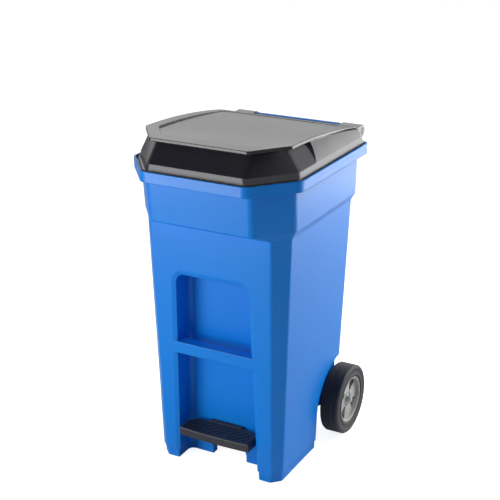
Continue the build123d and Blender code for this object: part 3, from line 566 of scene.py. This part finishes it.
def fitted_copy(piece, name, place=(0.0, 0.0, 0.0), turn=0.0, across=1.0):
    """A copy with its own mesh, turned about X and mirrored across it, set down at place."""
    copy = piece.copy()
    copy.data = piece.data.copy()
    copy.name = name
    bpy.context.scene.collection.objects.link(copy)
    copy.location = place
    copy.rotation_euler = (turn, 0.0, 0.0)
    copy.scale = (across, 1.0, 1.0)
    bpy.ops.object.select_all(action="DESELECT")
    bpy.context.view_layer.objects.active = copy
    copy.select_set(True)
    bpy.ops.object.transform_apply(location=True, rotation=True, scale=True)
    if across < 0.0:
        bpy.ops.object.mode_set(mode="EDIT")
        bpy.ops.mesh.select_all(action="SELECT")
        bpy.ops.mesh.normals_make_consistent(inside=False)
        bpy.ops.object.mode_set(mode="OBJECT")
    return copy


def tyre_profile(half, outer, inner):
    """Tyre section from the bead on one side round the tread to the bead on the other."""
    side = [
        (half - 0.0010, inner),
        (half - 0.0010, inner + 0.0030),
        (half, inner + 0.0042),
        (half, inner + 0.0075),
        (half - RING_HIGH, inner + 0.0087),
        (half - RING_HIGH, outer - 0.0135),
        (half, outer - 0.0123),
        (half, outer - 0.0095),
        (half - 0.0006, outer - SHOULDER),
        (half - 0.0020, outer - 0.0025),
        (half - SHOULDER, outer),
    ]
    tread = []
    for groove in range(TREAD_GROOVES):
        middle = (TREAD_GROOVES - 1 - 2 * groove) / 2 * TREAD_PITCH
        tread += [
            (middle + GROOVE_HALF, outer),
            (middle + GROOVE_HALF / 3, outer - GROOVE_DEEP),
            (middle - GROOVE_HALF / 3, outer - GROOVE_DEEP),
            (middle - GROOVE_HALF, outer),
        ]
    return side + tread + [(-along, radius) for along, radius in reversed(side)]


low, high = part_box("wheel_tyre_right")
hub_low, hub_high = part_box("wheel_hub_right")
tyre_section = tyre_profile((high.x - low.x) / 2, (high.y - low.y) / 2, (hub_high.y - hub_low.y) / 2)
tyre_rubber = moulded_plastic("tyre_rubber", TYRE_BLACK, TYRE_SCUFFED, roughness=0.48,
                              specular=0.40, edge_radius=0.0012, grain=0.5, dust=0.20)
tyre_model = turned("tyre_model", tyre_section, TYRE_EDGE)
for side in ("left", "right"):
    low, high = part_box("wheel_tyre_" + side)
    tyre = fitted_copy(tyre_model, "tyre_" + side, (low + high) / 2)
    tyre.data.materials.append(tyre_rubber)
    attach(tyre, "wheel_" + side)
    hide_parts("wheel_tyre_" + side)
bpy.data.objects.remove(tyre_model)

# ---------------------------------------------------------------------------------------------
# Hubs. Grey polypropylene: a deep rim, a dished web with four spokes that widen outwards, and a
# boss for the axle. Each is one moulding pressed into its tyre.
# ---------------------------------------------------------------------------------------------

HUB_GREY = (0.420, 0.415, 0.395, 1.0)
HUB_RUBBED = (0.520, 0.515, 0.495, 1.0)
WEB_SET_BACK = 0.0110
WEB_THICK = 0.0070
RIM_WALL = 0.0055
BOSS = 0.0200
AXLE_BORE = 0.0083
HUB_EDGE = 0.0006
WINDOW_LOW = 0.0250
WINDOW_HIGH = 0.0590
WINDOW_HALF = 0.0185
WINDOW_NARROW = 0.27
WINDOW_CORNER = 0.0030
WINDOW_DEPTH = 0.1
WINDOWS = 4
WINDOW_TURN = 35.0


def hub_profile(half, radius, boss_out, boss_in):
    """Hub section round the bore: lip, rim wall, web, boss and back, along being the outer way."""
    face = half - WEB_SET_BACK
    back = face - WEB_THICK
    return [
        (half, radius),
        (half, radius - RIM_WALL),
        (half - 0.0030, radius - RIM_WALL - 0.0010),
        (face + 0.0020, radius - RIM_WALL - 0.0022),
        (face, radius - RIM_WALL - 0.0040),
        (face, BOSS + 0.0050),
        (face + 0.0015, BOSS + 0.0010),
        (boss_out - 0.0010, BOSS - 0.0010),
        (boss_out, BOSS - 0.0020),
        (boss_out, AXLE_BORE),
        (boss_in, AXLE_BORE),
        (boss_in, BOSS - 0.0020),
        (back, BOSS + 0.0010),
        (back, radius - RIM_WALL - 0.0040),
        (-half, radius - RIM_WALL),
        (-half, radius),
    ]


def window_wedge():
    """The shape of one opening in the web: a wedge with rounded corners, wider towards the rim."""
    middle = (WINDOW_LOW + WINDOW_HIGH) / 2
    bpy.ops.object.select_all(action="DESELECT")
    bpy.ops.mesh.primitive_cube_add(size=1.0, location=(0.0, 0.0, middle))
    wedge = bpy.context.object
    wedge.scale = (WINDOW_DEPTH, 2 * WINDOW_HALF, WINDOW_HIGH - WINDOW_LOW)
    bpy.ops.object.transform_apply(location=True, rotation=False, scale=True)
    bpy.ops.object.mode_set(mode="EDIT")
    bpy.ops.mesh.select_mode(type="VERT")
    bpy.ops.mesh.select_all(action="DESELECT")
    bpy.ops.object.mode_set(mode="OBJECT")
    for corner in wedge.data.vertices:
        corner.select = corner.co.z < middle
    bpy.ops.object.mode_set(mode="EDIT")
    bpy.ops.transform.resize(value=(1.0, WINDOW_NARROW, 1.0))
    bpy.ops.mesh.select_mode(type="EDGE")
    bpy.ops.mesh.select_all(action="DESELECT")
    bpy.ops.object.mode_set(mode="OBJECT")
    for edge in wedge.data.edges:
        ends = [wedge.data.vertices[end].co for end in edge.vertices]
        edge.select = abs(ends[0].x - ends[1].x) > WINDOW_DEPTH / 2
    bpy.ops.object.mode_set(mode="EDIT")
    bpy.ops.mesh.bevel(offset=WINDOW_CORNER, segments=4)
    bpy.ops.mesh.select_mode(type="VERT")
    bpy.ops.object.mode_set(mode="OBJECT")
    return wedge


def cut_window(hub, cutter):
    """Takes the cutter's shape out of the hub."""
    window = hub.modifiers.new("window", "BOOLEAN")
    window.operation = "DIFFERENCE"
    window.solver = "EXACT"
    window.object = cutter
    bpy.ops.object.select_all(action="DESELECT")
    bpy.context.view_layer.objects.active = hub
    hub.select_set(True)
    bpy.ops.object.modifier_apply(modifier=window.name)
    bpy.data.objects.remove(cutter)


low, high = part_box("wheel_hub_right")
hub_middle = (low.x + high.x) / 2
boss_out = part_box("axle_washer_right")[0].x - hub_middle
boss_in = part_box("wheel_spacer_right")[1].x - hub_middle
hub_section = hub_profile((high.x - low.x) / 2, (high.y - low.y) / 2, boss_out, boss_in)
# The wide hollow reach paints shade on the rim's inner wall, on the web and through the windows.
hub_plastic = moulded_plastic("hub_grey_plastic", HUB_GREY, HUB_RUBBED, roughness=0.42,
                              specular=0.50, edge_radius=0.0012, grain=0.3, dust=0.20, hollow=0.024)
hub_model = turned("hub_model", hub_section, HUB_EDGE)
wedge = window_wedge()
for count in range(WINDOWS):
    window_turn = math.radians(WINDOW_TURN + 360.0 / WINDOWS * count)
    cut_window(hub_model, fitted_copy(wedge, "window_cutter", turn=-window_turn))
bpy.data.objects.remove(wedge)
bpy.ops.object.shade_smooth_by_angle(angle=math.radians(SMOOTH_UNDER))
for side, across in (("left", -1.0), ("right", 1.0)):
    low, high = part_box("wheel_hub_" + side)
    hub = fitted_copy(hub_model, "hub_" + side, (low + high) / 2, across=across)
    hub.data.materials.append(hub_plastic)
    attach(hub, "wheel_" + side)
    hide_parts("wheel_hub_" + side)
bpy.data.objects.remove(hub_model)
